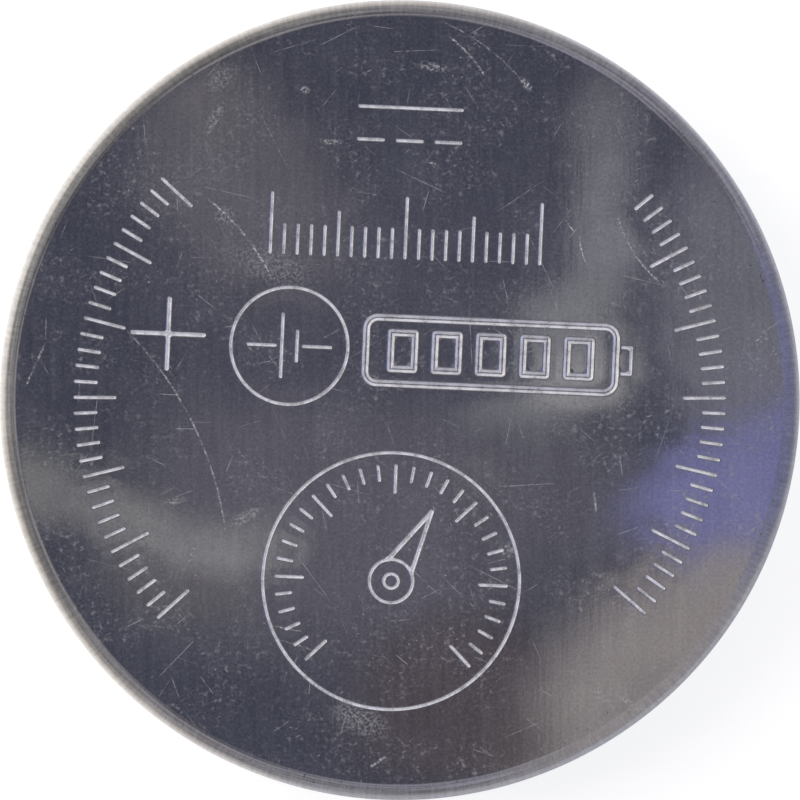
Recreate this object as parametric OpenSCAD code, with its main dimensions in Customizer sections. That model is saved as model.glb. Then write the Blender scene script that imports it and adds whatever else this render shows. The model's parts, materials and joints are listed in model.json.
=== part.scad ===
// Lithium coin cell lying on its negative cap, with its positive face up.
// The origin is the centre of the negative contact face, +Z points out of the positive face.
// Every piece is turned from a section drawn in the half plane of radius (x) and height (y).

/* [Cell] */
// Outside diameter of the cell
cell_d = 24.5; // [22:0.5:30]
// Height from the negative contact face to the positive face
cell_h = 3.0; // [2.6:0.1:5]
// Clearance between pieces that seat against each other
seat_gap = 0.02; // [0.01:0.01:0.04]

/* [Positive can] */
// Thickness of the can's steel sheet
can_sheet = 0.25; // [0.22:0.01:0.3]
// Outside radius of the drawn corner round the positive face
can_corner_r = 0.6; // [0.45:0.05:0.8]
// Outside radius of the crimped bend at the can's mouth
crimp_r = 0.95; // [0.9:0.05:1.1]
// Flat lip beyond the crimped bend
crimp_lip = 0.25; // [0.15:0.05:0.35]
// How far the contact face stands out below the crimp
crimp_step = 0.15; // [0.1:0.05:0.3]

/* [Negative cap] */
// Thickness of the cap's steel sheet
cap_sheet = 0.25; // [0.2:0.01:0.3]
// From the edge of the flat contact face out to the cap's skirt
cap_shoulder = 1.5; // [1.4:0.05:1.9]
// Outside radius of the bend round the contact face
cap_corner_r = 0.4; // [0.3:0.05:0.5]
// Outside radius of the bend from the sloped wall into the flange
cap_foot_r = 0.2; // [0.1:0.05:0.3]
// Slope of the wall between the contact face and the flange, in degrees
cap_slope = 70; // [65:1:80]

/* [Gasket] */
// Thickness of the gasket between the can and the cap
gasket_wall = 0.3; // [0.25:0.01:0.34]
// Thickness of the gasket's foot between the cap's skirt and the can's base
gasket_foot = 0.3; // [0.2:0.05:0.5]
// Thickness of the gasket's inner lip
gasket_lip = 0.25; // [0.2:0.05:0.4]
// Height of the inner lip above the can's base
gasket_lip_h = 0.9; // [0.5:0.05:1.1]
// Width of the bead that shows between the crimp and the cap
bead_w = 0.3; // [0.2:0.02:0.34]
// How far the bead lies below the face of the crimp
bead_sink = 0.06; // [0:0.01:0.1]

/* [Electrodes] */
// Thickness of the lithium disc
lithium_h = 0.55; // [0.4:0.05:0.7]
// Bare rim of the cap's flat face left round the lithium disc
lithium_margin = 0.6; // [0.5:0.1:1.5]
// Thickness of the separator
separator_h = 0.2; // [0.1:0.05:0.25]
// How far the separator reaches past the lithium disc
separator_margin = 0.6; // [0.3:0.1:0.7]
// How far the separator reaches past the cathode pellet
pellet_margin = 0.35; // [0.2:0.05:0.6]
// Thickness of the cathode ring's sheet
ring_sheet = 0.12; // [0.08:0.01:0.15]
// Width of the cathode ring's foot, which lies against the can's base
ring_foot = 1.2; // [0.6:0.1:2]
// How far the cathode ring's wall stops short of the separator
ring_reveal = 0.6; // [0.4:0.05:0.8]

/* [Hidden] */
$fn = 144;
// Straight steps along each bend of the cap's section
bend_steps = 8;

// Can: inside of the wall and of the base, centre of the crimped bend, edge of the mouth
can_r = cell_d / 2;
can_in_r = can_r - can_sheet;
base_z = cell_h - can_sheet;
crimp_centre = [can_r - crimp_r, crimp_step + crimp_r];
mouth_r = crimp_centre.x - crimp_lip;
lip_top_z = crimp_step + can_sheet;

// Cap: its skirt bends about the crimp's own centre, so that the gasket keeps one thickness
skirt_r = can_in_r - gasket_wall - 2 * seat_gap;
skirt_bend_r = skirt_r - crimp_centre.x;
skirt_top_z = base_z - gasket_foot - 2 * seat_gap;
flange_z = crimp_centre.y - skirt_bend_r;
face_r = skirt_r - cap_shoulder;

// Cap: the sloped wall runs from the contact face's bend to the flange's bend
face_centre = [face_r, cap_corner_r];
wall_rise = flange_z - (cap_corner_r + cap_foot_r) * (1 - cos(cap_slope));
wall_run = wall_rise / sin(cap_slope) * heading(cap_slope);
foot_centre = face_centre + wall_run + (cap_corner_r + cap_foot_r) * heading(cap_slope - 90);

// Gasket: inside of its inner lip, inside and nose of its bead
lip_in_r = skirt_r - cap_sheet - seat_gap - gasket_lip;
bead_r = mouth_r - seat_gap - bead_w;
bead_z = crimp_step + bead_sink;

// Electrodes, stacked from the cap's inner face up to the can's base
lithium_r = face_r - lithium_margin;
separator_r = lithium_r + separator_margin;
separator_z = cap_sheet + lithium_h;
pellet_r = separator_r - pellet_margin;
pellet_z = separator_z + separator_h;
ring_in_r = pellet_r + seat_gap;
ring_r = ring_in_r + ring_sheet;
ring_z = pellet_z + ring_reveal;

// Unit vector at an angle, in degrees
function heading(angle) = [cos(angle), sin(angle)];

// Points of an arc round a centre, from one angle over a turn, both in degrees
function arc(centre, r, from, turn) =
    [for (i = [0:bend_steps]) centre + r * heading(from + turn * i / bend_steps)];

// Half section of a round drum, r_low and r_high being the radii of its lower and upper edge
module drum_section(r, z_low, z_high, r_low, r_high) {
    translate([0, z_low]) square([r - r_low, r_low]);
    translate([0, z_low + r_low]) square([r, z_high - z_low - r_low - r_high]);
    translate([0, z_high - r_high]) square([r - r_high, r_high]);
    translate([r - r_low, z_low + r_low]) intersection() {
        circle(r = r_low);
        translate([0, -r_low]) square(r_low);
    }
    translate([r - r_high, z_high - r_high]) intersection() {
        circle(r = r_high);
        square(r_high);
    }
}

// Space inside the can, drawn in by a clearance
module cavity_section(inset) {
    drum_section(
        can_in_r - inset, lip_top_z + inset, base_z - inset,
        crimp_r - can_sheet - inset, can_corner_r - can_sheet - inset
    );
}

// Deep-drawn can: flat base, drawn corner, straight wall, and a mouth crimped in to a rounded lip
module can_section() {
    lip_nose = [mouth_r + can_sheet / 2, crimp_step + can_sheet / 2];
    difference() {
        drum_section(can_r, crimp_step, cell_h, crimp_r, can_corner_r);
        cavity_section(0);
        translate([0, crimp_step]) square([lip_nose.x, can_sheet]);
    }
    translate(lip_nose) intersection() {
        circle(d = can_sheet);
        translate([-can_sheet, -can_sheet]) square([can_sheet, 2 * can_sheet]);
    }
}

// Pressed cap: contact face, sloped wall, flange, and a skirt that stands in the gasket.
// It is drawn out along the lower face and back along the upper one.
// With a clearance, the section is that much thicker on both faces and at the skirt's end.
module cap_section(grow = 0) {
    skirt_end_z = skirt_top_z + grow;
    polygon(concat(
        [[0, -grow]],
        arc(face_centre, cap_corner_r + grow, -90, cap_slope),
        arc(foot_centre, cap_foot_r - grow, 90 + cap_slope, -cap_slope),
        arc(crimp_centre, skirt_bend_r + grow, -90, 90),
        [[skirt_r + grow, skirt_end_z], [skirt_r - cap_sheet - grow, skirt_end_z]],
        arc(crimp_centre, skirt_bend_r - cap_sheet - grow, 0, -90),
        arc(foot_centre, cap_foot_r + cap_sheet + grow, 90, cap_slope),
        arc(face_centre, cap_corner_r - cap_sheet - grow, cap_slope - 90, -cap_slope),
        [[0, cap_sheet + grow]]
    ));
}

// Moulded gasket: a trough for the cap's skirt that runs on round the crimp to a bead at the mouth
module gasket_section() {
    difference() {
        union() {
            intersection() {
                cavity_section(seat_gap);
                gasket_blank_section();
            }
            bead_section();
        }
        cap_section(seat_gap);
    }
}

// Space for the gasket between the can and the cap, and for its inner lip and the skirt beside it
module gasket_blank_section() {
    bend_room = [can_in_r - crimp_centre.x, crimp_centre.y - lip_top_z];
    translate([lip_in_r, base_z - gasket_lip_h]) square([can_in_r - lip_in_r, gasket_lip_h]);
    translate([skirt_r, crimp_centre.y]) square([can_in_r - skirt_r, base_z - crimp_centre.y]);
    translate([mouth_r, lip_top_z]) square([crimp_centre.x - mouth_r, flange_z - lip_top_z]);
    translate(crimp_centre) difference() {
        translate([0, -bend_room.y]) square(bend_room);
        circle(r = skirt_bend_r);
    }
}

// Bead of the gasket, squeezed up between the can's lip and the cap's wall, with a round nose
module bead_section() {
    nose_r = bead_w / 2;
    web_z = lip_top_z + seat_gap;
    translate([bead_r, bead_z + nose_r]) square([bead_w, flange_z - bead_z - nose_r]);
    translate([bead_r + nose_r, bead_z + nose_r]) intersection() {
        circle(r = nose_r);
        translate([-nose_r, -nose_r]) square([bead_w, nose_r]);
    }
    translate([bead_r, web_z]) square([mouth_r - bead_r, flange_z - web_z]);
}

// Cathode ring: an L, with its foot against the can's base and its wall round the pellet.
// With a clearance, the section is that much larger on the sides that meet the pellet.
module ring_section(grow = 0) {
    foot_r = ring_r - ring_foot - grow;
    foot_z = base_z - ring_sheet - grow;
    translate([ring_in_r - grow, ring_z]) square([ring_sheet + grow, base_z - ring_z]);
    translate([foot_r, foot_z]) square([ring_r - foot_r, base_z - foot_z]);
}

module positive_can() {
    color([0.66, 0.66, 0.69]) rotate_extrude() can_section();
}

module gasket() {
    color([0.86, 0.86, 0.82]) rotate_extrude() gasket_section();
}

module negative_cap() {
    color([0.70, 0.69, 0.68]) rotate_extrude() cap_section();
}

module cathode_ring() {
    color([0.55, 0.55, 0.57]) rotate_extrude() ring_section();
}

// Pressed tablet of manganese dioxide, with the ring's foot let into its upper edge
module cathode_pellet() {
    color([0.10, 0.10, 0.11]) rotate_extrude() difference() {
        translate([0, pellet_z]) square([pellet_r, base_z - pellet_z]);
        ring_section(seat_gap);
    }
}

// Porous disc that keeps the two electrodes apart
module separator() {
    color([0.93, 0.93, 0.90]) translate([0, 0, separator_z])
        cylinder(r = separator_r, h = separator_h);
}

// Disc of lithium, pressed onto the cap
module lithium_disc() {
    color([0.74, 0.75, 0.77]) translate([0, 0, cap_sheet])
        cylinder(r = lithium_r, h = lithium_h);
}

positive_can();
gasket();
negative_cap();
cathode_ring();
cathode_pellet();
separator();
lithium_disc();
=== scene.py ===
"""Looks of a lithium coin cell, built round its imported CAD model.

The cell lies on its negative cap with the stamped positive face up, and the camera looks straight down.
The can, the cap and the gasket are finer pieces, turned from the outlines that the solids have, and the
can's face also gets its stamped marks. What is sealed inside stays as the CAD nodes, with materials of
their own. Lengths are in millimetres until a mesh is made.
"""

import json
import math

import bpy
import numpy as np
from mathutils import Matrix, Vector
from mathutils.geometry import delaunay_2d_cdt

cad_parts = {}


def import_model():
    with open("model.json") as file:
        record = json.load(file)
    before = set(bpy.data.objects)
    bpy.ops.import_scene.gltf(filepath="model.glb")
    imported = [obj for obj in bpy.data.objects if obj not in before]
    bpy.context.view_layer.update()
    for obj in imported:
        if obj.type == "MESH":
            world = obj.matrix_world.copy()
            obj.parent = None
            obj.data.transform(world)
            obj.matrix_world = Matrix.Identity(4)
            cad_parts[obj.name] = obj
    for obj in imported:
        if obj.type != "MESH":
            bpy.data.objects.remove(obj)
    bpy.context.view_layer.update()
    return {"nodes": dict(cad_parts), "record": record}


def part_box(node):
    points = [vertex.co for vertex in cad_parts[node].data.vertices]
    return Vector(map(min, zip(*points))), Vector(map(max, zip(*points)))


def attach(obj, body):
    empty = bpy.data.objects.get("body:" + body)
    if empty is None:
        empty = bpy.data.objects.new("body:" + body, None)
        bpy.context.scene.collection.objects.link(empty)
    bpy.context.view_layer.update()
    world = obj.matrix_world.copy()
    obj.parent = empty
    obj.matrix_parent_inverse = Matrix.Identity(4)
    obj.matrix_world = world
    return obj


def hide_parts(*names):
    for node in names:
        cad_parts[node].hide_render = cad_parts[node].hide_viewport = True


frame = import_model()

MM = 0.001

# Straight pieces round the cell and along each bend of a section
SEGMENTS = 288
BEND_STEPS = 20
# Turn from which an edge of the cap or the gasket shows sharp
SHARP_FROM = math.radians(35)


def low(node):
    """Lowest corner of a CAD node, in millimetres."""
    return [round(value / MM, 3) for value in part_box(node)[0]]


def high(node):
    """Highest corner of a CAD node, in millimetres."""
    return [round(value / MM, 3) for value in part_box(node)[1]]


def mount(name):
    """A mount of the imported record."""
    return next(m for m in frame["record"]["mounts"] if m["name"] == name)


# Can: its sizes come from the frame, apart from the lip
CAN_R = high("positive_can")[0]
FACE_Z = high("positive_can")[2]
CRIMP_Z = low("positive_can")[2]
BASE_Z = high("cathode_pellet")[2]
SHEET = FACE_Z - BASE_Z
WALL_MID_Z = mount("side_wall")["pos_m"][2] / MM
WALL_LENGTH = mount("side_wall")["dims"]["length_mm"]
WALL_TOP_Z = WALL_MID_Z + WALL_LENGTH / 2
WALL_LOW_Z = WALL_MID_Z - WALL_LENGTH / 2
CORNER_R = FACE_Z - WALL_TOP_Z
CRIMP_R = WALL_LOW_Z - CRIMP_Z
FACE_R = CAN_R - CORNER_R
CORNER_CENTRE = (FACE_R, WALL_TOP_Z)
CRIMP_CENTRE = (CAN_R - CRIMP_R, WALL_LOW_Z)
LIP = 0.25
MOUTH_R = CRIMP_CENTRE[0] - LIP

# Cap: the skirt's sizes come from the frame
SKIRT_R = high("negative_cap")[0]
SKIRT_TOP_Z = high("negative_cap")[2]
CAP_SHOULDER = 1.5
CAP_CORNER_R = 0.4
CAP_FOOT_R = 0.2
CAP_SLOPE = 70
SKIRT_BEND_R = SKIRT_R - CRIMP_CENTRE[0]
FLANGE_Z = CRIMP_CENTRE[1] - SKIRT_BEND_R

# Gasket: its outside sizes come from the frame
GASKET_R = high("gasket")[0]
GASKET_TOP_Z = high("gasket")[2]
BEAD_Z = low("gasket")[2]
CLEARANCE = CAN_R - SHEET - GASKET_R
GASKET_LIP = 0.25
GASKET_LIP_H = 0.9
BEAD_W = 0.3


def heading(angle):
    """Unit vector at an angle, in degrees."""
    turn = math.radians(angle)
    return np.array([math.cos(turn), math.sin(turn)])


def arc(centre, r, start, turn):
    """Points of an arc round a centre, from one angle over a turn, both in degrees."""
    steps = range(BEND_STEPS + 1)
    return [np.array(centre) + r * heading(start + turn * i / BEND_STEPS) for i in steps]


# Node trees


class Graph:
    """Adds nodes to a tree and links them, so that a formula reads as a line or two."""

    def __init__(self, tree):
        self.tree = tree
        self.tree.nodes.clear()

    def put(self, socket, value):
        """Links a socket's output into a socket, or sets the socket to a plain value."""
        if isinstance(value, bpy.types.NodeSocket):
            self.tree.links.new(value, socket)
        else:
            socket.default_value = value

    def node(self, kind, inputs=None, **settings):
        made = self.tree.nodes.new(kind)
        for name, value in settings.items():
            setattr(made, name, value)
        for key, value in (inputs or {}).items():
            self.put(made.inputs[key], value)
        return made

    def math(self, operation, *values):
        made = self.node("ShaderNodeMath", operation=operation)
        for socket, value in zip(made.inputs, values):
            self.put(socket, value)
        return made.outputs[0]

    def fold(self, operation, first, *others):
        """Takes the other values into the first, one after another."""
        for other in others:
            first = self.math(operation, first, other)
        return first

    def add(self, *values):
        return self.fold("ADD", *values)

    def times(self, *values):
        return self.fold("MULTIPLY", *values)

    def highest(self, *values):
        return self.fold("MAXIMUM", *values)

    def vector(self, operation, *values, output="Vector"):
        made = self.node("ShaderNodeVectorMath", operation=operation)
        for socket, value in zip(made.inputs, values):
            self.put(socket, value)
        return made.outputs[output]

    def parts(self, vector):
        """The x, y and z of a vector."""
        return self.node("ShaderNodeSeparateXYZ", {0: vector}).outputs

    def joined(self, x, y, z=0.0):
        return self.node("ShaderNodeCombineXYZ", {0: x, 1: y, 2: z}).outputs[0]

    def ramp(self, value, start, end, low=0.0, high=1.0):
        """Smooth step from low at start to high at end."""
        inputs = {"Value": value, "From Min": start, "From Max": end, "To Min": low, "To Max": high}
        return self.node("ShaderNodeMapRange", inputs, interpolation_type="SMOOTHSTEP").outputs[0]

    def mix(self, factor, a, b):
        """Colour a where factor is 0, colour b where it is 1."""
        return self.node("ShaderNodeMix", {0: factor, 6: a, 7: b}, data_type="RGBA").outputs[2]

    def noise(self, vector, scale, detail=2.0, roughness=0.5):
        inputs = {"Vector": vector, "Scale": scale, "Detail": detail, "Roughness": roughness}
        return self.node("ShaderNodeTexNoise", inputs).outputs[0]

    def local(self, vector, origin, turn, size):
        """The vector seen from an origin, in axes turned by degrees and in units of a size."""
        inputs = {
            "Vector": vector,
            "Location": (*origin, 0),
            "Rotation": (0, 0, math.radians(turn)),
            "Scale": (*size, 1),
        }
        return self.node("ShaderNodeMapping", inputs, vector_type="TEXTURE").outputs[0]

    def place(self):
        """Place on the part, in millimetres."""
        metres = self.node("ShaderNodeTexCoord").outputs["Object"]
        return self.vector("MULTIPLY", metres, (1 / MM,) * 3)

    def radius(self, place):
        """Distance from the cell's axis."""
        return self.vector("LENGTH", self.vector("MULTIPLY", place, (1, 1, 0)), output="Value")


def grey(level):
    return (level, level, level, 1.0)


def scratch_field(graph, place, cell, length, width, share, shift):
    """Straight scratches at random angles: in a share of the cells of one size, one scratch each."""
    moved = graph.vector("ADD", place, shift)
    inputs = {"Vector": moved, "Scale": 1 / cell}
    cells = graph.node("ShaderNodeTexVoronoi", inputs, voronoi_dimensions="2D")
    chance = graph.node("ShaderNodeSeparateColor", {0: cells.outputs["Color"]}).outputs
    local = graph.vector("SUBTRACT", moved, cells.outputs["Position"])
    angle = graph.times(chance[0], 2 * math.pi)
    inputs = {"Vector": local, "Angle": angle}
    turned = graph.node("ShaderNodeVectorRotate", inputs, rotation_type="Z_AXIS").outputs[0]
    along, across, _ = graph.parts(turned)
    along = graph.ramp(graph.math("ABSOLUTE", along), length * 0.25, length * 0.5, 1, 0)
    across = graph.ramp(graph.math("ABSOLUTE", across), width * 0.3, width * 0.7, 1, 0)
    chosen = graph.math("LESS_THAN", chance[1], share)
    return graph.times(along, across, chosen, graph.ramp(chance[2], -0.4, 1.0))


def fleck_field(graph, place, origin, turn, size, bar, soft):
    """Irregular scuffs of a size in millimetres, turned one way, where a noise passes a soft bar."""
    stretched = graph.local(place, origin, turn, size)
    return graph.ramp(graph.noise(stretched, 1.0, 1.0, 0.6), bar, bar + soft)


def soft_shape(graph, flat, centre, half, turn, soft, strength=1):
    """Mask of a soft ellipse in the level plane."""
    distance = graph.vector("LENGTH", graph.local(flat, centre, turn, half), output="Value")
    return graph.ramp(distance, 1 - soft, 1 + soft, strength, 0)


def circle_through(a, b, c):
    """Centre and radius of the circle through three points."""
    (ax, ay), (bx, by), (cx, cy) = a, b, c
    twice_area = 2 * (ax * (by - cy) + bx * (cy - ay) + cx * (ay - by))
    a2, b2, c2 = ax**2 + ay**2, bx**2 + by**2, cx**2 + cy**2
    x = (a2 * (by - cy) + b2 * (cy - ay) + c2 * (ay - by)) / twice_area
    y = (a2 * (cx - bx) + b2 * (ax - cx) + c2 * (bx - ax)) / twice_area
    return (x, y), math.hypot(ax - x, ay - y)


def curved_scratch(graph, flat, start, middle, end, width, strength):
    """One long scratch along the circle through three points of the face."""
    (x, y), r = circle_through(start, middle, end)
    halfway = ((start[0] + end[0]) / 2, (start[1] + end[1]) / 2)
    half = math.dist(start, end) / 2
    distance = graph.vector("DISTANCE", flat, (x, y, 0), output="Value")
    off = graph.math("ABSOLUTE", graph.math("SUBTRACT", distance, r))
    line = graph.ramp(off, width * 0.3, width * 0.7, strength, 0)
    away = graph.vector("DISTANCE", flat, (*halfway, 0), output="Value")
    return graph.times(line, graph.ramp(away, 0.7 * half, half, 1, 0))


def new_material(name):
    """A material, the graph of its nodes, its one Principled shader and the place on the part."""
    material = bpy.data.materials.new(name)
    material.use_nodes = True
    graph = Graph(material.node_tree)
    shader = graph.node("ShaderNodeBsdfPrincipled")
    graph.node("ShaderNodeOutputMaterial", {"Surface": shader.outputs[0]})
    return material, graph, shader, graph.place()


def finish_shader(graph, shader, colour, metallic, roughness, height, relief):
    """Sets what varies over the surface. The relief is the depth of the bump, in millimetres."""
    inputs = {"Height": height, "Distance": relief * MM, "Strength": 1.0}
    bump = graph.node("ShaderNodeBump", inputs).outputs[0]
    varied = {"Base Color": colour, "Metallic": metallic, "Roughness": roughness, "Normal": bump}
    for name, value in varied.items():
        graph.put(shader.inputs[name], value)


# Single scratches on the face: start, middle, end, width and strength, read off the photograph
LONG_SCRATCHES = (
    ((-8.50, 2.32), (-6.20, -0.88), (-5.20, -5.00), 0.05, 0.65),
    ((-5.95, 6.20), (-4.70, 5.00), (-3.80, 3.50), 0.06, 0.85),
    ((6.60, 5.70), (7.10, 4.50), (8.00, 3.50), 0.05, 0.80),
    ((5.45, 5.05), (5.48, 4.77), (5.72, 4.02), 0.05, 0.80),
    ((5.02, 5.50), (5.20, 5.25), (5.33, 5.08), 0.04, 0.80),
    ((1.15, 11.55), (2.60, 10.75), (3.95, 9.40), 0.04, 0.45),
    ((1.35, 11.15), (2.10, 10.50), (2.65, 9.75), 0.06, 0.75),
    ((-4.55, 9.40), (-3.95, 8.15), (-3.30, 6.90), 0.04, 0.25),
    ((-10.72, 1.80), (-11.05, 1.10), (-11.37, 0.37), 0.06, 0.60),
    ((0.75, 7.24), (0.95, 7.20), (1.14, 7.16), 0.04, 0.70),
    ((-4.20, -6.75), (-3.50, -6.93), (-2.75, -7.05), 0.05, 0.55),
    ((-3.85, -7.25), (-3.35, -7.37), (-2.60, -7.62), 0.04, 0.50),
    ((5.90, -2.75), (5.94, -3.10), (5.97, -3.45), 0.06, 0.60),
    ((-0.90, -11.15), (-0.65, -10.98), (-0.40, -10.80), 0.08, 0.80),
)

# Scuffed spots on the face: middle, half sizes, turn in degrees and strength, read off the photograph
SCUFFS = (
    ((-3.85, 4.10), (1.15, 0.48), -18, 0.30),
    ((-5.30, 5.60), (0.30, 0.25), 0, 0.35),
    ((3.30, -4.55), (0.22, 0.20), 0, 0.50),
    ((-5.45, 9.75), (0.50, 0.30), 40, 0.35),
    ((-5.60, 8.60), (0.14, 0.50), -30, 0.45),
    ((-2.88, 9.43), (0.14, 0.08), -10, 0.80),
    ((-2.10, 7.85), (0.28, 0.08), -5, 0.60),
    ((1.00, 10.12), (0.45, 0.12), -8, 0.55),
    ((3.85, 9.58), (0.22, 0.10), -50, 0.80),
    ((-4.68, -3.56), (0.45, 0.14), 30, 0.55),
    ((-6.85, -3.07), (0.30, 0.08), 8, 0.60),
    ((-6.32, -4.68), (0.12, 0.30), -20, 0.45),
    ((-1.20, -9.70), (0.80, 0.40), -25, 0.35),
    ((6.15, -9.00), (0.40, 0.14), -50, 0.40),
    ((7.00, -9.20), (0.45, 0.08), -32, 0.50),
)


def stamp_masks(graph, dust, gaps):
    """Where the strokes are frosted, and where shade is painted along their edges and down the middle of
    bold ones.
    """
    stamp = graph.node("ShaderNodeAttribute", attribute_name="stamp").outputs["Fac"]
    bold = BOLD_HALF_W / STROKE_HALF_W
    crease = graph.ramp(stamp, 0.86 * bold, 0.97 * bold)
    uneven = graph.ramp(graph.add(gaps, graph.times(dust, 0.6)), 0.55, 0.95, 0.45, 1.0)
    frosted = graph.times(graph.ramp(stamp, 0.10, 0.40), uneven, graph.ramp(crease, 0, 1, 1, 0.3))
    # Painted shade: a thin dark line at each groove's edge, and with the crease, a dark line down the
    # middle of a bold groove
    edge = graph.times(graph.ramp(stamp, 0.0, 0.08), graph.ramp(stamp, 0.08, 0.25, 1, 0))
    return frosted, graph.highest(edge, crease)


def fine_flecks(graph, place, crowded):
    """Flecks of four sorts all over, close together in places."""
    flecks = graph.highest(
        graph.times(fleck_field(graph, place, (0, 0), 0, (0.20, 0.20), 0.54, 0.32), 0.42),
        graph.times(fleck_field(graph, place, (57, -19), 0, (0.12, 0.11), 0.66, 0.24), 0.90),
        fleck_field(graph, place, (-13, 5), 25, (0.30, 0.10), 0.65, 0.28),
        fleck_field(graph, place, (4, -27), -52, (0.34, 0.09), 0.66, 0.28),
    )
    return graph.times(flecks, graph.ramp(crowded, 0.0, 1.0, 0.16, 0.72))


def fine_scratches(graph, place):
    """Straight scratches all over, some longer and some shorter."""
    return graph.highest(
        graph.times(scratch_field(graph, place, 2.3, 2.0, 0.024, 0.40, (3, 8, 0)), 0.40),
        graph.times(scratch_field(graph, place, 1.0, 0.8, 0.022, 0.35, (51, 2, 0)), 0.45),
    )


def single_marks(graph, place, dust, broken):
    """The scratches and scuffed spots that the photograph shows, each in its own place."""
    flat = graph.vector("MULTIPLY", place, (1, 1, 0))
    scratches = [curved_scratch(graph, flat, *scratch) for scratch in LONG_SCRATCHES]
    scuffs = [
        soft_shape(graph, flat, centre, half, turn, 0.6, strength)
        for centre, half, turn, strength in SCUFFS
    ]
    dotted = graph.ramp(dust, 0.42, 0.60, 0.22, 1.1)
    return graph.highest(
        graph.times(graph.highest(*scratches), broken, dotted),
        graph.times(graph.highest(*scuffs), graph.ramp(dust, 0.40, 0.66)),
    )


def drawing_lines(graph, place, r):
    """Fine lines up the wall and over the rim, from the drawing of the can."""
    x, y, z = graph.parts(place)
    out = graph.highest(r, 1.0)
    sideways = graph.joined(
        graph.math("DIVIDE", x, out),
        graph.math("DIVIDE", y, out),
        graph.times(z, 0.008),
    )
    return graph.noise(sideways, 90.0, 3.0, 0.65)


def can_steel():
    """Nickel plated steel: a bright rolled face, frosted stampings with painted shade along them, wear and
    a duller rim.
    """
    material, graph, shader, place = new_material("can_steel")
    r = graph.radius(place)
    on_face = graph.ramp(r, FACE_R - 0.1, FACE_R + 0.35, 1, 0)
    on_rim = graph.ramp(r, FACE_R - 0.05, FACE_R + 0.25)
    by_rim = graph.times(
        graph.ramp(r, FACE_R - 0.5, FACE_R - 0.2),
        graph.ramp(r, FACE_R + 0.2, FACE_R + 0.4, 1, 0),
    )

    grain = graph.noise(graph.vector("MULTIPLY", place, (5.0, 0.35, 1.0)), 1.0, 3.0, 0.65)
    dust = graph.noise(place, 11.0, 3.0, 0.7)
    gaps = graph.noise(place, 3.0, 3.0)
    blotch = graph.noise(place, 0.45, 3.0, 0.55)
    fog = graph.noise(graph.vector("ADD", place, (31, 17, 5)), 1.7, 4.0, 0.6)
    crowded = graph.ramp(graph.noise(graph.vector("ADD", place, (9, 4, 2)), 0.42, 3.0, 0.6), 0.40, 0.64)
    drawn = drawing_lines(graph, place, r)

    frosted, painted_shade = stamp_masks(graph, dust, gaps)
    broken = graph.ramp(gaps, 0.36, 0.58, 0.25, 1.0)
    scratches = graph.times(fine_scratches(graph, place), broken)
    flecks = fine_flecks(graph, place, crowded)
    wear = graph.highest(
        graph.times(graph.highest(scratches, flecks), on_face),
        single_marks(graph, place, dust, broken),
    )
    nicks = graph.times(fleck_field(graph, place, (77, 13), 0, (0.16, 0.16), 0.68, 0.10), by_rim)
    haze = graph.add(
        graph.times(graph.ramp(grain, 0.3, 0.75), 0.030),
        graph.times(graph.ramp(dust, 0.38, 0.78), graph.ramp(crowded, 0.0, 1.0, 0.045, 0.090)),
        graph.times(graph.ramp(blotch, 0.4, 0.75), 0.014),
        graph.times(graph.ramp(fog, 0.5, 0.8), 0.020),
    )
    matt = graph.highest(frosted, graph.math("MINIMUM", graph.add(wear, haze), 1.0))

    patchy = graph.add(graph.times(blotch, 0.5), graph.times(grain, 0.3), dust)
    streaks = graph.times(on_rim, graph.ramp(drawn, 0.3, 0.7, -0.2, 0.2))
    tone = graph.ramp(graph.add(patchy, streaks), 0.65, 1.15)
    colour = graph.mix(tone, (0.61, 0.61, 0.63, 1), (0.75, 0.75, 0.77, 1))
    # Painted shade along the grooves' edges and down the middle of bold grooves, and dark nicks by the rim
    colour = graph.mix(graph.times(graph.highest(painted_shade, nicks), 0.6), colour, (0.18, 0.17, 0.17, 1))
    colour = graph.mix(graph.times(frosted, 0.9), colour, (0.87, 0.87, 0.95, 1))
    bare = graph.highest(graph.times(frosted, 0.92), graph.times(matt, 0.75))
    metallic = graph.math("SUBTRACT", 1.0, bare)
    roughness = graph.add(
        0.045,
        graph.times(graph.ramp(fog, 0.3, 0.8), 0.03),
        graph.times(graph.highest(frosted, wear), 0.42),
        graph.times(on_rim, 0.10),
        graph.times(on_rim, drawn, 0.12),
    )
    height = graph.add(
        graph.times(grain, 0.10),
        graph.times(dust, 0.06),
        graph.times(on_rim, drawn, 0.6),
    )
    finish_shader(graph, shader, colour, metallic, roughness, height, 0.003)
    return material


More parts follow.
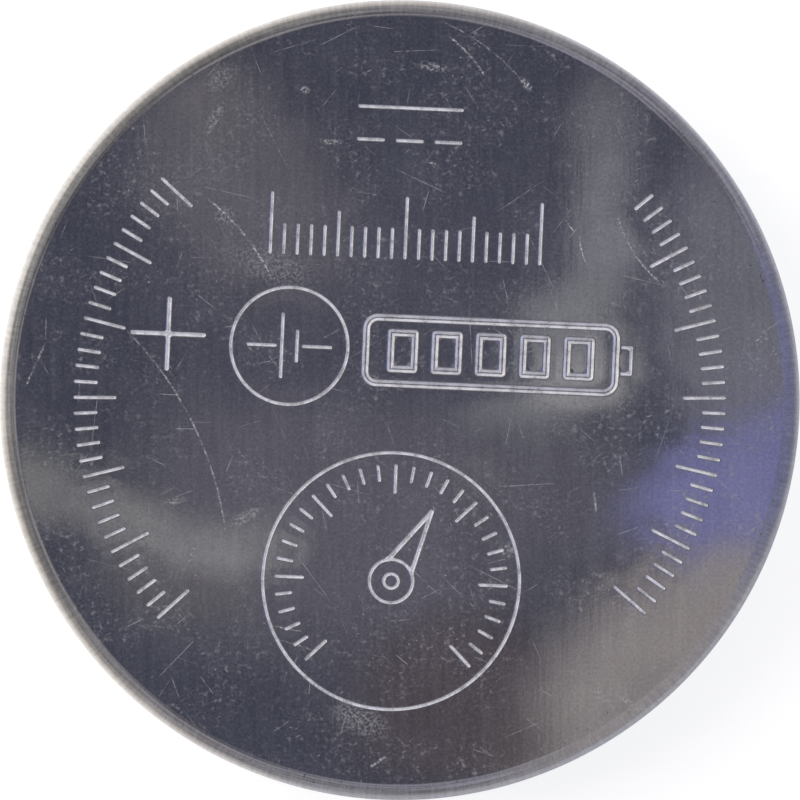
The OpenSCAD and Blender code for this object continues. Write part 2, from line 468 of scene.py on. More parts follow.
def cap_steel():
    """Nickel plated steel with a satin contact face, scuffed where it rubs."""
    material, graph, shader, place = new_material("cap_steel")
    r = graph.radius(place)
    satin = graph.noise(place, 26.0, 3.0, 0.7)
    blotch = graph.noise(place, 0.6, 3.0, 0.6)
    marks = graph.highest(
        scratch_field(graph, place, 2.4, 2.1, 0.05, 0.5, (5, 60, 0)),
        scratch_field(graph, place, 1.1, 0.8, 0.04, 0.4, (71, 3, 0)),
        graph.times(fleck_field(graph, place, (-2, -33), 30, (0.20, 0.11), 0.66, 0.12), 0.9),
    )
    scuffed = graph.ramp(r, 0.5, 4.5, 1, 0)
    worn_edge = graph.times(graph.ramp(r, 9.6, 10.2), graph.ramp(r, 10.3, 10.6, 1, 0))
    colour = graph.mix(graph.ramp(blotch, 0.35, 0.7), (0.65, 0.64, 0.63, 1), (0.74, 0.73, 0.72, 1))
    colour = graph.mix(graph.times(marks, 0.8), colour, (0.92, 0.91, 0.90, 1))
    metallic = graph.math("SUBTRACT", 0.96, graph.times(marks, 0.2))
    roughness = graph.add(
        0.24,
        graph.times(graph.ramp(satin, 0.3, 0.7), 0.10),
        graph.times(marks, 0.25),
        graph.times(scuffed, graph.ramp(blotch, 0.4, 0.6), 0.08),
        graph.times(worn_edge, -0.10),
    )
    height = graph.add(graph.times(satin, 0.6), graph.times(marks, -1.0))
    finish_shader(graph, shader, colour, metallic, roughness, height, 0.004)
    return material


def gasket_plastic():
    """Moulded polypropylene, white and a little translucent."""
    material, graph, shader, place = new_material("gasket_plastic")
    cloud = graph.noise(place, 1.4, 3.0, 0.6)
    grain = graph.noise(place, 18.0, 3.0, 0.6)
    colour = graph.mix(graph.ramp(cloud, 0.3, 0.7), (0.86, 0.86, 0.82, 1), (0.80, 0.80, 0.76, 1))
    roughness = graph.ramp(grain, 0.2, 0.8, 0.36, 0.50)
    shader.inputs["Subsurface Weight"].default_value = 0.25
    shader.inputs["Subsurface Radius"].default_value = (0.6, 0.6, 0.5)
    shader.inputs["Subsurface Scale"].default_value = 0.4 * MM
    finish_shader(graph, shader, colour, 0.0, roughness, grain, 0.004)
    return material


def ring_steel():
    """Bare pressed steel of the cathode ring, with drawing lines round it."""
    material, graph, shader, place = new_material("ring_steel")
    lines = graph.noise(graph.joined(graph.times(graph.radius(place), 12.0), 0.0, 0.0), 1.0, 3.0, 0.6)
    stain = graph.noise(place, 1.2, 3.0, 0.6)
    colour = graph.mix(graph.ramp(stain, 0.35, 0.7), (0.55, 0.55, 0.57, 1), (0.46, 0.45, 0.45, 1))
    roughness = graph.ramp(graph.add(lines, graph.times(stain, 0.5)), 0.4, 1.1, 0.28, 0.42)
    finish_shader(graph, shader, colour, 0.97, roughness, lines, 0.004)
    return material


def cathode_mix():
    """Pressed black powder with a fine grain and a few brighter grains."""
    material, graph, shader, place = new_material("cathode_mix")
    grain = graph.noise(place, 14.0, 5.0, 0.7)
    coarse = graph.noise(place, 2.2, 3.0, 0.6)
    colour = graph.mix(graph.ramp(grain, 0.35, 0.75), (0.085, 0.085, 0.095, 1), (0.13, 0.13, 0.14, 1))
    roughness = graph.ramp(graph.add(grain, coarse), 0.7, 1.4, 0.72, 0.92)
    finish_shader(graph, shader, colour, 0.0, roughness, grain, 0.02)
    return material


def separator_felt():
    """Porous white felt: crossed fibres and a soft mottle."""
    material, graph, shader, place = new_material("separator_felt")
    one_way = graph.noise(graph.vector("MULTIPLY", place, (14.0, 1.6, 4.0)), 1.0, 4.0, 0.7)
    other_way = graph.noise(graph.vector("MULTIPLY", place, (1.6, 14.0, 4.0)), 1.0, 4.0, 0.7)
    fibres = graph.highest(one_way, other_way)
    colour = graph.mix(graph.ramp(fibres, 0.4, 0.8), (0.86, 0.86, 0.83, 1), (0.93, 0.93, 0.90, 1))
    roughness = graph.ramp(fibres, 0.4, 0.8, 0.95, 0.80)
    finish_shader(graph, shader, colour, 0.0, roughness, fibres, 0.02)
    return material


def lithium():
    """Soft metal foil with a dull skin, darker in patches, and roller lines."""
    material, graph, shader, place = new_material("lithium")
    lines = graph.noise(graph.vector("MULTIPLY", place, (9.0, 0.4, 1.0)), 1.0, 3.0, 0.6)
    skin = graph.noise(place, 0.7, 4.0, 0.65)
    colour = graph.mix(graph.ramp(skin, 0.4, 0.7), (0.74, 0.75, 0.77, 1), (0.60, 0.60, 0.63, 1))
    roughness = graph.ramp(graph.add(lines, skin), 0.7, 1.3, 0.34, 0.58)
    finish_shader(graph, shader, colour, 0.92, roughness, graph.add(lines, skin), 0.01)
    return material


# Turned pieces


def turned(outline):
    """Points and faces of an outline of radius and height turned about the cell's axis.

    The outline has the solid on its right, seen along the way that it runs.
    """
    angles = np.arange(SEGMENTS) * 2 * math.pi / SEGMENTS
    points = []
    rings = []
    for r, z in outline:
        first = len(points)
        if r < 1e-6:
            points.append((0.0, 0.0, z))
            rings.append([first])
        else:
            points.extend((r * math.cos(a), r * math.sin(a), z) for a in angles)
            rings.append(list(range(first, first + SEGMENTS)))
    faces = []
    for ring, following in zip(rings, rings[1:]):
        faces.extend(band(ring, following))
    return points, faces, rings


def band(ring, following):
    """Faces between two rings of points, either of which may be a single point on the axis."""
    for i in range(SEGMENTS):
        j = (i + 1) % SEGMENTS
        if len(ring) == 1:
            yield (ring[0], following[i], following[j])
        elif len(following) == 1:
            yield (ring[i], following[0], ring[j])
        else:
            yield (ring[i], following[i], following[j], ring[j])


def new_object(name, data):
    """An object in the scene's collection."""
    made = bpy.data.objects.new(name, data)
    bpy.context.scene.collection.objects.link(made)
    return made


def new_piece(name, points, faces, material, node):
    """A mesh that rides on the body with the material given, and stands in for a CAD node, which it hides.
    """
    mesh = bpy.data.meshes.new(name)
    mesh.from_pydata([Vector(p) * MM for p in points], [], faces)
    mesh.materials.append(material)
    mesh.shade_smooth()
    piece = new_object(name, mesh)
    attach(piece, "root")
    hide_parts(node)
    return piece


def cap_outline():
    """Lower face from the axis out to the skirt's end, and back along the upper face."""
    face_centre = np.array([SKIRT_R - CAP_SHOULDER, CAP_CORNER_R])
    bends = CAP_CORNER_R + CAP_FOOT_R
    rise = FLANGE_Z - bends * (1 - math.cos(math.radians(CAP_SLOPE)))
    run = rise / math.sin(math.radians(CAP_SLOPE)) * heading(CAP_SLOPE)
    foot_centre = face_centre + run + bends * heading(CAP_SLOPE - 90)
    inner_face = CAP_CORNER_R - SHEET
    outer_foot = CAP_FOOT_R + SHEET
    below = (
        [(0, 0), (face_centre[0] - 0.1, 0)]
        + arc(face_centre, CAP_CORNER_R, -90, CAP_SLOPE)
        + arc(foot_centre, CAP_FOOT_R, 90 + CAP_SLOPE, -CAP_SLOPE)
        + arc(CRIMP_CENTRE, SKIRT_BEND_R, -90, 90)
        + [(SKIRT_R, SKIRT_TOP_Z)]
    )
    above = (
        [(SKIRT_R - SHEET, SKIRT_TOP_Z)]
        + arc(CRIMP_CENTRE, SKIRT_BEND_R - SHEET, 0, -90)
        + arc(foot_centre, outer_foot, 90, CAP_SLOPE)
        + arc(face_centre, inner_face, CAP_SLOPE - 90, -CAP_SLOPE)
        + [(face_centre[0] - 0.1, SHEET), (0, SHEET)]
    )
    return (below + above)[::-1], foot_centre


def gasket_outline():
    """Round the trough: along the cap's side, over the inner lip, and back along the can's side."""
    _, foot_centre = cap_outline()
    bead_r = MOUTH_R - CLEARANCE - BEAD_W
    nose_r = BEAD_W / 2
    foot_r = CAP_FOOT_R - CLEARANCE
    foot_from = math.degrees(math.acos((bead_r - foot_centre[0]) / foot_r))
    skirt_gap_r = SKIRT_R + CLEARANCE
    lip_r = SKIRT_R - SHEET - CLEARANCE
    lip_top_z = CRIMP_Z + SHEET
    corner_r = CORNER_R - SHEET - CLEARANCE
    bend_r = CRIMP_R - SHEET - CLEARANCE
    return (
        arc(foot_centre, foot_r, foot_from, 90 - foot_from)
        + arc(CRIMP_CENTRE, SKIRT_BEND_R + CLEARANCE, -90, 90)
        + [(skirt_gap_r, SKIRT_TOP_Z + CLEARANCE), (lip_r, SKIRT_TOP_Z + CLEARANCE)]
        + [(lip_r, BASE_Z - GASKET_LIP_H), (lip_r - GASKET_LIP, BASE_Z - GASKET_LIP_H)]
        + [(lip_r - GASKET_LIP, GASKET_TOP_Z)]
        + arc(CORNER_CENTRE, corner_r, 90, -90)
        + arc(CRIMP_CENTRE, bend_r, 0, -90)
        + [(bead_r + BEAD_W, lip_top_z + CLEARANCE)]
        + arc((bead_r + nose_r, BEAD_Z + nose_r), nose_r, 0, -180)
    )


def cap_shell():
    """Pressed cap, with a smooth skin and a sharp end to its skirt."""
    outline, _ = cap_outline()
    points, faces, _ = turned(outline)
    piece = new_piece("cap_shell", points, faces, cap_steel(), "negative_cap")
    piece.data.set_sharp_from_angle(angle=SHARP_FROM)


def gasket_moulding():
    """Moulded gasket, of which the bead shows between the can and the cap."""
    points, faces, rings = turned(gasket_outline())
    faces.extend(band(rings[-1], rings[0]))
    piece = new_piece("gasket_moulding", points, faces, gasket_plastic(), "gasket")
    piece.data.set_sharp_from_angle(angle=SHARP_FROM)


# Stamped marks: plain signs and scales, whose strokes are rounded grooves

# Half widths of the strokes, and how deep a groove is in half widths
STROKE_HALF_W = 0.065
PLUS_HALF_W = 0.084
BOLD_HALF_W = 0.125
STROKE_SLOPE = 0.62
# Distance between points along a stroke
STROKE_STEP = 0.12
# Turn of the signs on the face, in degrees
SIGN_TURN = -2.5
# Ticks along the edge: how far out they end, and the angle between them
EDGE_SCALE_R = 9.86
EDGE_SCALE_STEP = 2.8


def spun(point, turn):
    """A point of the face turned about its centre, in degrees."""
    cos, sin = heading(turn)
    return np.array([[cos, -sin], [sin, cos]]) @ point


class Line:
    """Straight stroke."""

    def __init__(self, start, end, half_w=STROKE_HALF_W):
        self.start = np.array(start, float)
        self.end = np.array(end, float)
        self.half_w = half_w

    def placed(self, centre, turn):
        return Line(spun(self.start, turn) + centre, spun(self.end, turn) + centre, self.half_w)

    def distance(self, x, y):
        run = self.end - self.start
        share = ((x - self.start[0]) * run[0] + (y - self.start[1]) * run[1]) / (run @ run)
        share = np.clip(share, 0, 1)
        return np.hypot(x - self.start[0] - share * run[0], y - self.start[1] - share * run[1])

    def rows(self, offsets):
        """Points in rows beside the stroke and round its two ends, each with its distance from it."""
        run = self.end - self.start
        length = math.hypot(*run)
        along = run / length
        side = np.array([-along[1], along[0]])
        steps = np.linspace(0, length, max(2, round(length / STROKE_STEP) + 1))
        for offset in offsets:
            for step in steps:
                yield *(self.start + step * along + offset * side), offset
                yield *(self.start + step * along - offset * side), offset
        for offset in offsets[1:]:
            for angle in range(-60, 90, 30):
                cos, sin = heading(angle)
                yield *(self.end + offset * (cos * along + sin * side)), offset
                yield *(self.start - offset * (cos * along + sin * side)), offset


class Arc:
    """Round stroke, from one angle over a turn, both in degrees. A whole turn is a ring."""

    def __init__(self, centre, r, start=0, turn=360, half_w=STROKE_HALF_W):
        self.centre = np.array(centre, float)
        self.r = r
        self.start = start
        self.turn = turn
        self.half_w = half_w

    def placed(self, centre, turn):
        moved = spun(self.centre, turn) + centre
        return Arc(moved, self.r, self.start + turn, self.turn, self.half_w)

    def distance(self, x, y):
        dx, dy = x - self.centre[0], y - self.centre[1]
        middle = math.radians(self.start + self.turn / 2)
        off = np.arctan2(dy, dx) - middle
        off = (off + math.pi) % (2 * math.pi) - math.pi
        half = math.radians(self.turn / 2)
        near = np.clip(off, -half, half) + middle
        return np.hypot(dx - self.r * np.cos(near), dy - self.r * np.sin(near))

    def rows(self, offsets):
        """Points in rings beside the stroke, each with its distance from it."""
        step = STROKE_STEP * min(1, math.sqrt(self.r))
        count = max(3, round(math.radians(self.turn) * self.r / step))
        for i in range(count + 1):
            out = heading(self.start + self.turn * i / count)
            for offset in offsets:
                yield *(self.centre + (self.r + offset) * out), offset
                if offset < self.r:
                    yield *(self.centre + (self.r - offset) * out), offset


def rectangle(width, height, corner, half_w):
    """Outline of a rectangle round the origin, with corners of a radius, which may be 0."""
    x, y = width / 2, height / 2
    sides = [
        Line((corner - x, -y), (x - corner, -y), half_w),
        Line((x, corner - y), (x, y - corner), half_w),
        Line((x - corner, y), (corner - x, y), half_w),
        Line((-x, y - corner), (-x, corner - y), half_w),
    ]
    if corner == 0:
        return sides
    return sides + [
        Arc((x - corner, y - corner), corner, 0, 90, half_w),
        Arc((corner - x, y - corner), corner, 90, 90, half_w),
        Arc((corner - x, corner - y), corner, 180, 90, half_w),
        Arc((x - corner, corner - y), corner, 270, 90, half_w),
    ]


def ticks(angles, end_r, long_tick, short_tick):
    """Ticks at angles in degrees, out to one radius, every fifth one longer."""
    strokes = []
    for i, angle in enumerate(angles):
        length = long_tick if i % 5 == 0 else short_tick
        strokes.append(Line((end_r - length) * heading(angle), end_r * heading(angle)))
    return strokes


def plus_sign():
    """Polarity mark."""
    width, height = 2.16, 2.12
    return [
        Line((-width / 2, 0), (width / 2, 0), PLUS_HALF_W),
        Line((0, -height / 2), (0, height / 2), PLUS_HALF_W),
    ]


def direct_current_sign():
    """A bar over three dashes."""
    width, gap, dash = 3.1, 1.0, 0.74
    bar = Line((-width / 2, gap / 2), (width / 2, gap / 2))
    starts = [-width / 2 + i * (width - dash) / 2 for i in range(3)]
    return [bar] + [Line((x, -gap / 2), (x + dash, -gap / 2)) for x in starts]


def ruler():
    """A row of ticks, every tenth the longest and every fifth of middle length."""
    count, width, base = 21, 8.2, -0.9
    longest, middle, shortest = 1.80, 1.30, 0.85
    strokes = []
    for i in range(count):
        x = (i / (count - 1) - 0.5) * width
        height = {0: longest, 5: middle}.get(i % 10, shortest)
        strokes.append(Line((x, base), (x, base + height)))
    return strokes


def cell_sign():
    """Circuit sign of a cell, in a ring: a long and a short plate with their leads."""
    ring_r, plate_x, long_y, short_y = 1.78, 0.23, 0.95, 0.45
    lead_start, lead_end = plate_x + 0.2, 1.25
    return [
        Arc((0, 0), ring_r),
        Line((-plate_x, -long_y), (-plate_x, long_y)),
        Line((plate_x, -short_y), (plate_x, short_y)),
        Line((-lead_end, 0), (-lead_start, 0)),
        Line((lead_start, 0), (lead_end, 0)),
    ]


def gauge_sign():
    """Charge gauge in bold strokes: a rounded frame with a nub at its end, and five bars in outline."""
    width, height, corner = 7.6, 2.0, 0.35
    nub_start, nub_end, nub_y = width / 2 + 0.2, width / 2 + 0.46, 0.4
    bar_width, bar_height, bar_pitch = 0.72, 1.10, 1.34
    strokes = rectangle(width, height, corner, BOLD_HALF_W)
    strokes += [
        Line((nub_end, -nub_y), (nub_end, nub_y)),
        Line((nub_start, -nub_y), (nub_end, -nub_y)),
        Line((nub_start, nub_y), (nub_end, nub_y)),
    ]
    for i in range(-2, 3):
        bar = rectangle(bar_width, bar_height, 0, BOLD_HALF_W)
        strokes += [side.placed(np.array([i * bar_pitch, 0]), 0) for side in bar]
    return strokes


def dial():
    """Plain dial: a rim, a scale inside it, a hub and a needle."""
    rim_r, scale_r, hub_r, pin_r = 3.9, 3.5, 0.66, 0.22
    needle_r, needle_turn, foot_turn, needle_half_w = 2.45, 62, 38, 0.08
    strokes = [Arc((0, 0), r) for r in (rim_r, hub_r, pin_r)]
    strokes += ticks(range(225, -46, -9), scale_r, long_tick=0.80, short_tick=0.42)
    tip = needle_r * heading(needle_turn)
    for turn in (needle_turn - foot_turn, needle_turn + foot_turn):
        strokes.append(Line(hub_r * heading(turn), tip, needle_half_w))
    return strokes


def edge_scale(first, last):
    """Scale along the face's edge, from one angle to another."""
    count = round((last - first) / EDGE_SCALE_STEP)
    angles = [first + i * (last - first) / count for i in range(count + 1)]
    return ticks(angles, EDGE_SCALE_R, long_tick=1.20, short_tick=0.62)


def all_strokes():
    """Every stroke of the face, each sign at its own place."""
    signs = (
        (plus_sign(), (-7.03, 2.02)),
        (direct_current_sign(), (0.33, 8.37)),
        (ruler(), (0.20, 5.22)),
        (cell_sign(), (-3.35, 1.65)),
        (gauge_sign(), (2.77, 1.37)),
        (dial(), (-0.26, -5.50)),
    )
    strokes = [s.placed(np.array(centre), SIGN_TURN) for sign, centre in signs for s in sign]
    return strokes + edge_scale(137, 222) + edge_scale(-41, 39)


def groove(distance):
    """Share of the full depth at a distance from the stroke's middle, in half widths."""
    return 0.5 * (1 + np.cos(math.pi * np.clip(distance, 0, 1)))


def stamped(strokes, x, y):
    """Depth of the grooves at each point, and its distance from the nearest stroke."""
    depth = np.zeros_like(x)
    nearest = np.full_like(x, FACE_R)
    for stroke in strokes:
        distance = stroke.distance(x, y)
        depth = np.maximum(depth, groove(distance / stroke.half_w) * stroke.half_w * STROKE_SLOPE)
        nearest = np.minimum(nearest, distance)
    return depth, nearest


# Waves of the pressed sheet: direction in degrees, length, height, and start in radians
WAVES = (
    (12, 9.0, 0.0011, 0.4),
    (78, 6.5, 0.0009, 2.1),
    (131, 4.6, 0.0006, 4.4),
    (44, 13.0, 0.0014, 1.3),
)
# How deep and how far out the sheet is drawn in beside a stroke
DISH_DEPTH = 0.0016
DISH_W = 0.34

# Rows of points beside a stroke: first in its half widths, then in millimetres
NEAR_ROWS = (0, 0.22, 0.40, 0.58, 0.76, 0.92, 1.05, 1.3)
FAR_ROWS = [0.24, 0.40]
# Net between the strokes, and its distance from them
NET_STEP = 0.45
NET_CLEAR = 0.25
# How far all points stay from the face's rim, and the grid that merges close ones
RIM_CLEAR = 0.2
MERGE_STEP = 0.009
# Half of the distance over which the face's slope is taken
SLOPE_STEP = 0.003


def face_height(strokes, x, y):
    """Height of the face over its flat, never above 0, and the depth of its grooves.

    The height has the grooves, the sheet drawn in beside them, and waves that die out at the rim.
    """
    depth, nearest = stamped(strokes, x, y)
    still = 1 - (np.hypot(x, y) / FACE_R) ** 6
    wave = sum(
        size * (np.sin((x * heading(angle)[0] + y * heading(angle)[1]) * 2 * math.pi / length + start) - 1)
        for angle, length, size, start in WAVES
    )
    dish = -DISH_DEPTH * np.exp(-((nearest / DISH_W) ** 2))
    return (wave + dish) * still - depth, depth


def face_points(strokes):
    """Places for the face's points: a wide net, with close rows in and beside each stroke.

    A row gives way where another stroke is nearer, so that crossing strokes meet cleanly.
    """
    rows = []
    for stroke in strokes:
        beside = [offset * stroke.half_w for offset in NEAR_ROWS] + FAR_ROWS
        rows += list(stroke.rows(beside))
    rows = np.array(rows)
    _, nearest = stamped(strokes, rows[:, 0], rows[:, 1])
    rows = rows[nearest > rows[:, 2] - 1e-4][:, :2]
    net = np.arange(-FACE_R, FACE_R, NET_STEP)
    net_x, net_y = np.meshgrid(net, net)
    net_x = net_x + NET_STEP / 2 * (np.arange(len(net)) % 2)[:, None]
    net = np.column_stack([net_x.ravel(), net_y.ravel()])
    _, nearest = stamped(strokes, *net.T)
    points = np.vstack([rows, net[nearest > NET_CLEAR]])
    points = points[np.hypot(points[:, 0], points[:, 1]) < FACE_R - RIM_CLEAR]
    _, first = np.unique(np.round(points / MERGE_STEP), axis=0, return_index=True)
    return points[np.sort(first)]


def stamped_face(ring):
    """Face inside a ring of points: places, triangles, directions and how far each is stamped.

    A thin stroke is stamped to 1 at its middle, and a bolder one further.
    """
    strokes = all_strokes()
    inner = face_points(strokes)
    flat = [Vector(p) for p in ring] + [Vector(p) for p in inner]
    places, _, triangles, _, _, _ = delaunay_2d_cdt(flat, [], [], 0, 1e-7)
    if len(places) != len(flat):
        raise ValueError("the face's points were not all kept")
    x, y = np.array(places, float).T
    height, depth = face_height(strokes, x, y)
    height[: len(ring)] = 0
    step = SLOPE_STEP
    rise_x = face_height(strokes, x + step, y)[0] - face_height(strokes, x - step, y)[0]
    rise_y = face_height(strokes, x, y + step)[0] - face_height(strokes, x, y - step)[0]
    upward = np.column_stack([-rise_x, -rise_y, np.full_like(x, 2 * step)])
    upward[: len(ring)] = (0, 0, 1)
    upward /= np.linalg.norm(upward, axis=1)[:, None]
    points = np.column_stack([x, y, FACE_Z + height])
    return points, triangles, upward, depth / (STROKE_HALF_W * STROKE_SLOPE)


def can_outline():
    """From the edge of the flat face down the wall, round the lip and up inside, with directions."""
    lip_r = SHEET / 2
    nose = (MOUTH_R + lip_r, CRIMP_Z + lip_r)
    bends = (
        (CORNER_CENTRE, CORNER_R, 90, -90, 1),
        (CRIMP_CENTRE, CRIMP_R, 0, -90, 1),
        (nose, lip_r, -90, -180, 1),
        (CRIMP_CENTRE, CRIMP_R - SHEET, -90, 90, -1),
        (CORNER_CENTRE, CORNER_R - SHEET, 0, 90, -1),
    )
    outline = [p for centre, r, start, turn, _ in bends for p in arc(centre, r, start, turn)]
    outward = [p for _, _, start, turn, side in bends for p in arc((0, 0), side, start, turn)]
    return outline + [(0, BASE_Z)], outward + [(0, -1)]


def can_shell():
    """Drawn and crimped can, with its stamped face let into the ring at the face's edge."""
    outline, outward = can_outline()
    points, faces, rings = turned(outline)
    edge = [points[i][:2] for i in rings[0]]
    face, triangles, upward, stamp = stamped_face(edge)
    count = len(edge)
    shift = len(points) - count
    points += [tuple(p) for p in face[count:]]
    faces += [tuple(i if i < count else i + shift for i in triangle) for triangle in triangles]
    directions = []
    for ring, (out, up) in zip(rings, outward):
        spots = [points[i] for i in ring]
        for px, py, _ in spots:
            r = max(math.hypot(px, py), 1e-9)
            directions.append((out * px / r, out * py / r, up))
    directions += [tuple(v) for v in upward[count:]]
    piece = new_piece("can_shell", points, faces, can_steel(), "positive_can")
    attribute = piece.data.attributes.new("stamp", "FLOAT", "POINT")
    attribute.data.foreach_set("value", [0.0] * (shift + count) + list(stamp[count:]))
    piece.data.normals_split_custom_set_from_vertices(directions)


# Studio

CAMERA_LENS = 100
CAMERA_OVER_FACE = 67.5
CAMERA_SHIFT = (0.0005, 0.0001)
# Level direction from the lit side of the room to the other side
FROM_LIT_SIDE = (0.95, -0.3)


def camera():
    """Looks straight down on the face from as near as the photograph."""
    data = bpy.data.cameras.new("camera")
    data.lens = CAMERA_LENS
    data.sensor_width = 36
    data.shift_x, data.shift_y = CAMERA_SHIFT
    data.clip_start = 1 * MM
    data.clip_end = 10
    made = new_object("camera", data)
    made.location = (0, 0, (FACE_Z + CAMERA_OVER_FACE) * MM)
    bpy.context.scene.camera = made


def lamp(name, azimuth, zenith, level, tint):
    """Round soft lamp that gives a white level surface at the cell this level of brightness."""
    distance, size = 0.32, 0.30
    slant = math.cos(math.radians(zenith))
    data = bpy.data.lights.new(name, "AREA")
    data.shape = "DISK"
    data.size = size
    data.energy = level * math.pi**2 * distance**2 / slant
    data.color = tint
    made = new_object(name, data)
    out = heading(azimuth) * math.sin(math.radians(zenith))
    made.location = Vector((*out, slant)) * distance
    made.rotation_euler = made.location.to_track_quat("Z", "Y").to_euler()
    made.visible_glossy = False


def lamps():
    lamp("key_lamp", 158, 60, 0.43, (1.0, 0.95, 0.88))
    lamp("fill_lamp", -14, 62, 0.20, (0.70, 0.76, 1.0))
    lamp("back_lamp", 80, 48, 0.11, (1.0, 1.0, 1.0))


def floor_in_metal(graph, place):
    """Painted reflection of the floor, which the floor gives off to mirrored rays: brighter on the lit
    side and near the cell.
    """
    x, y, _ = graph.parts(place)
    sideways = graph.vector("NORMALIZE", place)
    across = graph.add(graph.times(x, FROM_LIT_SIDE[0]), graph.times(y, FROM_LIT_SIDE[1]))
    across = graph.ramp(across, -14, 12)
    near = graph.ramp(graph.radius(place), CAN_R + 1, CAN_R + 12, 1, 0)
    far_off = graph.mix(across, (0.42, 0.37, 0.31, 1), (0.02, 0.02, 0.05, 1))
    near_by = graph.mix(across, (0.85, 0.80, 0.72, 1), (0.30, 0.30, 0.37, 1))
    shown = graph.mix(near, far_off, near_by)
    for azimuth, half, _, far_shade, near_shade in GLOWS:
        glow = graph.mix(near, (*far_shade, 1), (*near_shade, 1))
        shown = graph.mix(sector(graph, sideways, azimuth, half), shown, glow)
    return shown


def floor_finish():
    """Pale matt floor that shows almost white to the camera, and gives off its painted reflection to the
    metal.
    """
    material, graph, shader, place = new_material("floor")
    shader.inputs["Base Color"].default_value = grey(0.38)
    shader.inputs["Roughness"].default_value = 0.9
    shader.inputs["Specular IOR Level"].default_value = 0.2
    rays = graph.node("ShaderNodeLightPath").outputs
    mirrored = graph.highest(rays["Is Glossy Ray"], rays["Is Transmission Ray"])
    shown = graph.mix(rays["Is Camera Ray"], floor_in_metal(graph, place), grey(0.78))
    graph.put(shader.inputs["Emission Color"], shown)
    graph.put(shader.inputs["Emission Strength"], graph.highest(rays["Is Camera Ray"], mirrored))
    return material


def floor():
    """Level ground that the cell lies on."""
    reach = 1.0
    corners = [(-reach, -reach, 0), (reach, -reach, 0), (reach, reach, 0), (-reach, reach, 0)]
    mesh = bpy.data.meshes.new("floor")
    mesh.from_pydata(corners, [], [(0, 1, 2, 3)])
    mesh.materials.append(floor_finish())
    made = new_object("floor", mesh)


# Soft shapes that the room overhead shows in the face: place on the face, half sizes,
# turn in degrees, softness of the edge and colour
REFLECTIONS = (
    ((-1.6, -2.8), (6.2, 4.9), 0, 0.45, (0.130, 0.126, 0.160)),
    ((4.7, -2.8), (3.2, 2.4), 0, 0.45, (0.114, 0.112, 0.142)),
    ((0.0, 3.4), (8.0, 3.6), 0, 0.50, (0.083, 0.085, 0.120)),
    ((-4.7, 6.5), (3.7, 2.5), -50, 0.32, (0.144, 0.138, 0.164)),
    ((-5.6, 9.1), (0.7, 1.1), -20, 0.50, (0.168, 0.160, 0.172)),
    ((1.6, -9.0), (3.0, 2.8), 0, 0.30, (0.096, 0.080, 0.096)),
    ((10.5, 2.9), (2.7, 5.2), 0, 0.30, (0.180, 0.180, 0.220)),
    ((6.1, 5.2), (0.85, 3.6), -2, 0.25, (0.250, 0.250, 0.278)),
    ((6.1, 8.4), (0.9, 1.6), -6, 0.50, (0.170, 0.170, 0.196)),
    ((5.1, 2.5), (1.5, 0.9), 38, 0.30, (0.250, 0.250, 0.275)),
    ((3.9, -0.1), (1.8, 0.85), 8, 0.40, (0.205, 0.205, 0.232)),
    ((5.4, 0.85), (1.45, 0.72), 4, 0.24, (0.365, 0.360, 0.362)),
    ((2.4, -2.4), (0.60, 0.50), 0, 0.50, (0.190, 0.183, 0.205)),
    ((-6.5, -5.3), (2.4, 1.3), -12, 0.45, (0.136, 0.130, 0.146)),
    ((-11.1, -2.4), (1.3, 1.0), -20, 0.36, (0.250, 0.244, 0.242)),
    ((-8.3, -3.3), (2.0, 0.80), -22, 0.38, (0.285, 0.277, 0.280)),
    ((-5.3, -4.35), (1.9, 0.82), -9, 0.38, (0.292, 0.284, 0.290)),
    ((8.9, -10.2), (5.1, 4.6), 0, 0.19, (0.346, 0.313, 0.305)),
    ((10.5, -7.6), (4.2, 3.7), 0, 0.20, (0.346, 0.313, 0.305)),
    ((10.7, -2.3), (3.9, 1.8), 22, 0.24, (0.212, 0.212, 0.425)),
    ((6.9, -9.2), (1.5, 0.60), 37, 0.50, (0.270, 0.250, 0.250)),
    ((3.5, -10.5), (1.2, 1.1), 0, 0.50, (0.120, 0.104, 0.112)),
)

# Lights low down round the cell, which only its rounded edge shows: middle and half width in degrees,
# and the colours of the horizon, of the floor far off and of the floor near the cell
GLOWS = (
    (157, 24, (0.95, 0.88, 0.80), (0.72, 0.66, 0.58), (1.00, 0.97, 0.92)),
    (-62, 40, (0.34, 0.33, 0.35), (0.20, 0.19, 0.21), (0.24, 0.24, 0.28)),
)

# Lighter parts of the room beyond the face: middle and half width in degrees, from how far out, and colour
ROOM_SIDES = (
    (-43, 26, 11.2, (0.360, 0.334, 0.335)),
    (-2, 22, 11.4, (0.190, 0.198, 0.330)),
)


def sector(graph, sideways, azimuth, half):
    """Mask of the level directions within half a width of an azimuth, in degrees."""
    facing = graph.vector("DOT_PRODUCT", sideways, (*heading(azimuth), 0), output="Value")
    wide, narrow = math.cos(math.radians(half + 10)), math.cos(math.radians(half - 10))
    return graph.ramp(facing, wide, narrow)


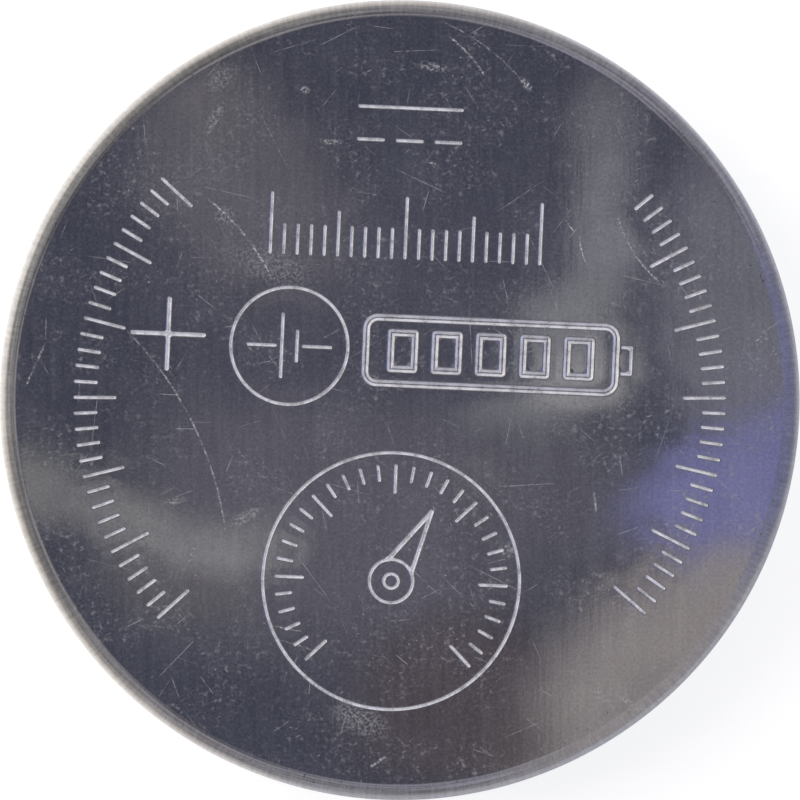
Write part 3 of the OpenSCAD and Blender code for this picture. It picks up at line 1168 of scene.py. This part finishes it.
def room(graph):
    """What the metal shows: a dim room with soft lights overhead, lighter walls and a lighter horizon."""
    direction = graph.node("ShaderNodeTexCoord").outputs["Generated"]
    x, y, z = graph.parts(direction)
    sideways = graph.vector("NORMALIZE", graph.vector("MULTIPLY", direction, (1, 1, 0)))
    spread = graph.math("DIVIDE", CAMERA_OVER_FACE, graph.highest(z, 0.05))
    overhead = graph.joined(graph.times(x, spread), graph.times(y, spread))
    out = graph.vector("LENGTH", overhead, output="Value")
    inputs = {"Vector": overhead, "Scale": 0.55, "Detail": 1.0}
    wavering = graph.node("ShaderNodeTexNoise", inputs).outputs["Color"]
    wavering = graph.vector("MULTIPLY", graph.vector("SUBTRACT", wavering, (0.5,) * 3), (1.6, 1.6, 0))
    overhead = graph.vector("ADD", overhead, wavering)
    right = graph.vector("DOT_PRODUCT", sideways, (*FROM_LIT_SIDE, 0), output="Value")
    right = graph.ramp(right, -0.9, 0.6)
    high_wall = graph.mix(right, (0.158, 0.150, 0.152, 1), (0.176, 0.172, 0.208, 1))
    low_wall = graph.mix(right, (0.240, 0.228, 0.220, 1), (0.225, 0.222, 0.250, 1))
    walls = graph.mix(graph.ramp(z, 0.35, 0.93), low_wall, high_wall)
    patchy = graph.ramp(graph.noise(direction, 4.5), 0.40, 0.62, 0.65, 1.90)
    walls = graph.vector("MULTIPLY", walls, graph.joined(patchy, patchy, patchy))
    colour = graph.mix(graph.ramp(z, 0.955, 0.987), walls, (0.064, 0.068, 0.099, 1))
    for azimuth, half, start, shade in ROOM_SIDES:
        beyond = graph.ramp(out, start - 0.8, start + 1.6)
        mask = graph.times(sector(graph, sideways, azimuth, half), beyond)
        colour = graph.mix(mask, colour, (*shade, 1))
    for centre, half, turn, soft, shade in REFLECTIONS:
        mask = soft_shape(graph, overhead, centre, half, turn, soft)
        colour = graph.mix(mask, colour, (*shade, 1))
    horizon = graph.mix(right, (0.50, 0.45, 0.40, 1), (0.22, 0.22, 0.28, 1))
    for azimuth, half, shade, _, _ in GLOWS:
        horizon = graph.mix(sector(graph, sideways, azimuth, half), horizon, (*shade, 1))
    return graph.mix(graph.ramp(z, 0.0, 0.42), horizon, colour)


def world():
    """White to the camera, a soft fill for the light, and a dim room in the metal."""
    made = bpy.data.worlds.new("studio")
    bpy.context.scene.world = made
    made.use_nodes = True
    graph = Graph(made.node_tree)
    rays = graph.node("ShaderNodeLightPath").outputs
    mirrored = graph.highest(rays["Is Glossy Ray"], rays["Is Transmission Ray"])
    fill, shown, white = [
        graph.node("ShaderNodeBackground", {"Color": colour, "Strength": strength}).outputs[0]
        for colour, strength in ((grey(1.0), 0.20), (room(graph), 1.0), (grey(1.0), 1.0))
    ]
    light = graph.node("ShaderNodeMixShader", {0: mirrored, 1: fill, 2: shown}).outputs[0]
    everything = graph.node("ShaderNodeMixShader", {0: rays["Is Camera Ray"], 1: light, 2: white})
    graph.node("ShaderNodeOutputWorld", {"Surface": everything.outputs[0]})


def dress_inside():
    """Materials of the pieces that are sealed inside."""
    finishes = {
        "cathode_ring": ring_steel,
        "cathode_pellet": cathode_mix,
        "separator": separator_felt,
        "lithium_disc": lithium,
    }
    for node, finish in finishes.items():
        mesh = frame["nodes"][node].data
        mesh.materials.clear()
        mesh.materials.append(finish())


can_shell()
cap_shell()
gasket_moulding()
dress_inside()
camera()
lamps()
floor()
world()
bpy.context.scene.view_settings.view_transform = "Standard"
